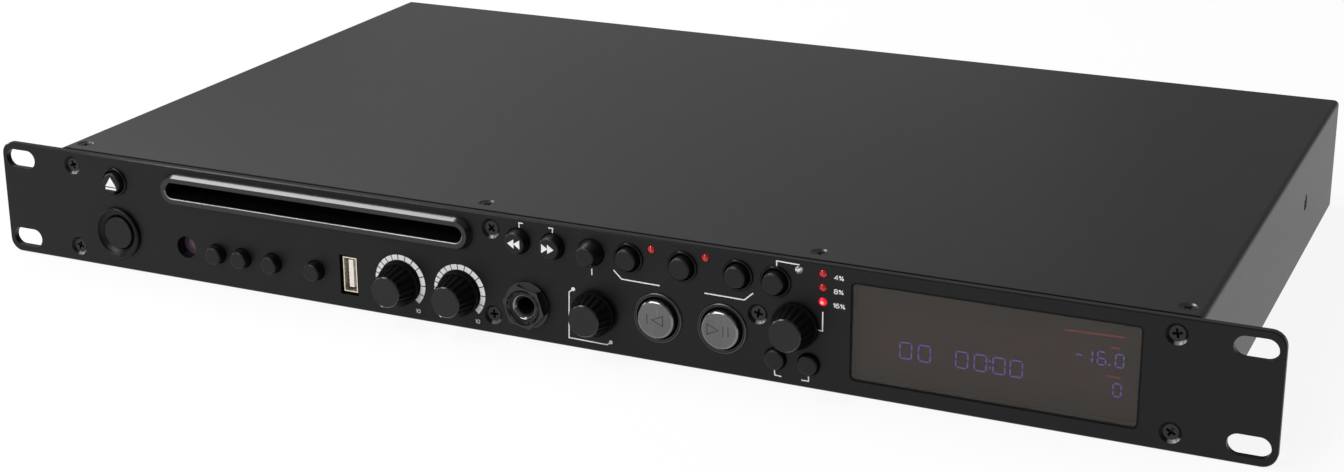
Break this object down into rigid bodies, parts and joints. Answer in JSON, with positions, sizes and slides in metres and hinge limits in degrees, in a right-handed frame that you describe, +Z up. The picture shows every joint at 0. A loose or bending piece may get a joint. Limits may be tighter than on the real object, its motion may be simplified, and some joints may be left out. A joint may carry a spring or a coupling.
{
  "type": "rack-mount disc player",
  "caption": "Low rack-mount disc player: black panel with rack ears, bezelled disc slot, push buttons, fluted knobs, sockets and a wide display, over a slot-loading drive.",
  "frame": {"origin": "centre of the pattern of rack slots, on the rear face of the front panel, which bears on the rack's rails", "axes": "+X to the right seen from the front, along the panel; +Y to the rear; +Z up"},
  "size_m": [0.4826, 0.2799, 0.044],
  "materials": {
    "panel_finish": "satin black anodised look",
    "cover_finish": "fine satin black powder coat",
    "plated_steel": "zinc plated sheet",
    "black_steel": "black oxide",
    "bezel_metal": "satin black anodised",
    "ring_plastic": "semi-gloss black",
    "window_acrylic": "smoked acrylic",
    "display_glass": "dark display glass",
    "infrared_plastic": "dark violet lens",
    "plated_shell": "plated sheet",
    "socket_plastic": "moulded black",
    "nut_plastic": "semi-gloss black",
    "pot_metal": "plated",
    "red_lens": "red lens",
    "clear_lens": "clear lens",
    "board_green": "solder mask",
    "white_plastic": "moulded natural",
    "damper_rubber": "soft rubber",
    "motor_steel": "plated can",
    "bright_steel": "ground steel",
    "gold_contact": "gold plated",
    "roller_rubber": "ground rubber",
    "worm_brass": "turned",
    "black_plastic": "moulded black",
    "sled_cast": "die cast",
    "button_plastic": "satin black",
    "cue_metal": "grey metallic paint",
    "knob_plastic": "satin black"
  },
  "bodies": {
    "chassis": {"front_panel": "panel_finish", "chassis_tray": "plated_steel", "front_wall": "plated_steel", "rear_wall": "cover_finish", "top_cover": "cover_finish", "case_screws": "black_steel", "slot_bezel": "bezel_metal", "button_rings": "ring_plastic", "display_window": "window_acrylic", "display_module": "display_glass", "ir_window": "infrared_plastic", "stick_port": "plated_shell", "mic_jack": "socket_plastic", "jack_nut": "nut_plastic", "level_pots": "pot_metal", "select_encoder": "pot_metal", "red_lamps": "red_lens", "clear_lamp": "clear_lens", "control_board": "board_green", "main_board": "board_green", "power_supply": "board_green", "drive_frame": "plated_steel", "disc_guide": "white_plastic", "drive_dampers": "damper_rubber", "drive_motors": "motor_steel", "guide_rods": "bright_steel", "mains_inlet": "socket_plastic", "phono_sockets": "gold_contact", "balanced_sockets": "socket_plastic"},
    "eject_button": {"eject_button": "button_plastic"},
    "power_button": {"power_button": "button_plastic"},
    "single_button": {"single_button": "button_plastic"},
    "time_button": {"time_button": "button_plastic"},
    "tempo_button": {"tempo_button": "button_plastic"},
    "source_button": {"source_button": "button_plastic"},
    "search_back_button": {"search_back_button": "button_plastic"},
    "search_forward_button": {"search_forward_button": "button_plastic"},
    "back_button": {"back_button": "button_plastic"},
    "loop_in_button": {"loop_in_button": "button_plastic"},
    "loop_out_button": {"loop_out_button": "button_plastic"},
    "loop_again_button": {"loop_again_button": "button_plastic"},
    "pitch_on_button": {"pitch_on_button": "button_plastic"},
    "cue_button": {"cue_button": "cue_metal"},
    "play_button": {"play_button": "cue_metal"},
    "bend_down_button": {"bend_down_button": "button_plastic"},
    "bend_up_button": {"bend_up_button": "button_plastic"},
    "master_knob": {"master_knob": "knob_plastic"},
    "mic_knob": {"mic_knob": "knob_plastic"},
    "pitch_knob": {"pitch_knob": "knob_plastic"},
    "select_knob": {"select_knob": "knob_plastic"},
    "select_plunger": {"select_plunger": "white_plastic"},
    "roller_arm": {"roller_arm": "plated_steel"},
    "loading_roller": {"loading_roller": "roller_rubber"},
    "loading_gear": {"loading_gear": "white_plastic"},
    "loading_worm": {"loading_worm": "worm_brass"},
    "turntable": {"turntable": "black_plastic"},
    "clamp_arm": {"clamp_arm": "plated_steel"},
    "clamp_puck": {"clamp_puck": "white_plastic"},
    "pickup_sled": {"pickup_sled": "sled_cast"},
    "lead_screw": {"lead_screw": "bright_steel"}
  },
  "joints": [
    {"name": "eject_press", "type": "slide", "parent": "chassis", "child": "eject_button", "axis": [0, 1, 0], "range_m": [0, 0.0008], "stiffness_N_per_m": 700, "springref_m": -0.001},
    {"name": "power_press", "type": "slide", "parent": "chassis", "child": "power_button", "axis": [0, 1, 0], "range_m": [0, 0.0015], "stiffness_N_per_m": 700, "springref_m": -0.001},
    {"name": "single_press", "type": "slide", "parent": "chassis", "child": "single_button", "axis": [0, 1, 0], "range_m": [0, 0.0008], "stiffness_N_per_m": 700, "springref_m": -0.001},
    {"name": "time_press", "type": "slide", "parent": "chassis", "child": "time_button", "axis": [0, 1, 0], "range_m": [0, 0.0008], "stiffness_N_per_m": 700, "springref_m": -0.001},
    {"name": "tempo_press", "type": "slide", "parent": "chassis", "child": "tempo_button", "axis": [0, 1, 0], "range_m": [0, 0.0008], "stiffness_N_per_m": 700, "springref_m": -0.001},
    {"name": "source_press", "type": "slide", "parent": "chassis", "child": "source_button", "axis": [0, 1, 0], "range_m": [0, 0.0008], "stiffness_N_per_m": 700, "springref_m": -0.001},
    {"name": "search_back_press", "type": "slide", "parent": "chassis", "child": "search_back_button", "axis": [0, 1, 0], "range_m": [0, 0.0008], "stiffness_N_per_m": 700, "springref_m": -0.001},
    {"name": "search_forward_press", "type": "slide", "parent": "chassis", "child": "search_forward_button", "axis": [0, 1, 0], "range_m": [0, 0.0008], "stiffness_N_per_m": 700, "springref_m": -0.001},
    {"name": "back_press", "type": "slide", "parent": "chassis", "child": "back_button", "axis": [0, 1, 0], "range_m": [0, 0.0008], "stiffness_N_per_m": 700, "springref_m": -0.001},
    {"name": "loop_in_press", "type": "slide", "parent": "chassis", "child": "loop_in_button", "axis": [0, 1, 0], "range_m": [0, 0.0008], "stiffness_N_per_m": 700, "springref_m": -0.001},
    {"name": "loop_out_press", "type": "slide", "parent": "chassis", "child": "loop_out_button", "axis": [0, 1, 0], "range_m": [0, 0.0008], "stiffness_N_per_m": 700, "springref_m": -0.001},
    {"name": "loop_again_press", "type": "slide", "parent": "chassis", "child": "loop_again_button", "axis": [0, 1, 0], "range_m": [0, 0.0008], "stiffness_N_per_m": 700, "springref_m": -0.001},
    {"name": "pitch_on_press", "type": "slide", "parent": "chassis", "child": "pitch_on_button", "axis": [0, 1, 0], "range_m": [0, 0.0008], "stiffness_N_per_m": 700, "springref_m": -0.001},
    {"name": "cue_press", "type": "slide", "parent": "chassis", "child": "cue_button", "axis": [0, 1, 0], "range_m": [0, 0.0008], "stiffness_N_per_m": 700, "springref_m": -0.001},
    {"name": "play_press", "type": "slide", "parent": "chassis", "child": "play_button", "axis": [0, 1, 0], "range_m": [0, 0.0008], "stiffness_N_per_m": 700, "springref_m": -0.001},
    {"name": "bend_down_press", "type": "slide", "parent": "chassis", "child": "bend_down_button", "axis": [0, 1, 0], "range_m": [0, 0.0008], "stiffness_N_per_m": 700, "springref_m": -0.001},
    {"name": "bend_up_press", "type": "slide", "parent": "chassis", "child": "bend_up_button", "axis": [0, 1, 0], "range_m": [0, 0.0008], "stiffness_N_per_m": 700, "springref_m": -0.001},
    {"name": "master_turn", "type": "hinge", "parent": "chassis", "child": "master_knob", "pos_m": [-0.0645, 0, -0.0091], "axis": [0, 1, 0], "range_deg": [-150, 150]},
    {"name": "mic_turn", "type": "hinge", "parent": "chassis", "child": "mic_knob", "pos_m": [-0.0403, 0, -0.0091], "axis": [0, 1, 0], "range_deg": [-150, 150]},
    {"name": "pitch_turn", "type": "hinge", "parent": "chassis", "child": "pitch_knob", "pos_m": [0.0862, 0, -0.0006], "axis": [0, 1, 0], "range_deg": [-150, 150]},
    {"name": "select_push", "type": "slide", "parent": "chassis", "child": "select_plunger", "axis": [0, 1, 0], "range_m": [0, 0.0008], "stiffness_N_per_m": 900, "springref_m": -0.001},
    {"name": "select_turn", "type": "hinge", "parent": "select_plunger", "child": "select_knob", "pos_m": [0.013, 0, -0.0078], "axis": [0, 1, 0], "continuous": true},
    {"name": "roller_arm_lift", "type": "hinge", "parent": "chassis", "child": "roller_arm", "pos_m": [-0.0999, 0.03793, 0.005], "axis": [-1, 0, 0], "range_deg": [0, 8.5]},
    {"name": "loading_gear_spin", "type": "hinge", "parent": "roller_arm", "child": "loading_gear", "pos_m": [-0.1741, 0.03793, 0.005], "axis": [1, 0, 0], "continuous": true},
    {"name": "roller_spin", "type": "hinge", "parent": "roller_arm", "child": "loading_roller", "pos_m": [-0.0999, 0.022, 0.0065], "axis": [1, 0, 0], "continuous": true},
    {"name": "loading_worm_spin", "type": "hinge", "parent": "chassis", "child": "loading_worm", "pos_m": [-0.1741, 0.03793, -0.0093], "axis": [0, 1, 0], "continuous": true},
    {"name": "turntable_spin", "type": "hinge", "parent": "chassis", "child": "turntable", "pos_m": [-0.0999, 0.09, 0.0093], "axis": [0, 0, 1], "continuous": true},
    {"name": "clamp_lower", "type": "hinge", "parent": "chassis", "child": "clamp_arm", "pos_m": [-0.0999, 0.16, 0.0152], "axis": [1, 0, 0], "range_deg": [0, 4.8]},
    {"name": "puck_spin", "type": "hinge", "parent": "clamp_arm", "child": "clamp_puck", "pos_m": [-0.0999, 0.09, 0.017], "axis": [0, 0, 1], "continuous": true},
    {"name": "sled_slide", "type": "slide", "parent": "chassis", "child": "pickup_sled", "axis": [0, 1, 0], "range_m": [0, 0.033]},
    {"name": "lead_screw_spin", "type": "hinge", "parent": "chassis", "child": "lead_screw", "pos_m": [-0.0669, 0.13, 0.0015], "axis": [0, 1, 0], "range_deg": [0, 3961]}
  ],
  "couplings": [
    {"joint": "roller_spin", "follows": "loading_gear_spin", "ratio": -2.2},
    {"joint": "loading_worm_spin", "follows": "loading_gear_spin", "ratio": 44},
    {"joint": "lead_screw_spin", "follows": "sled_slide", "rad_per_m": 2094.4}
  ]
}
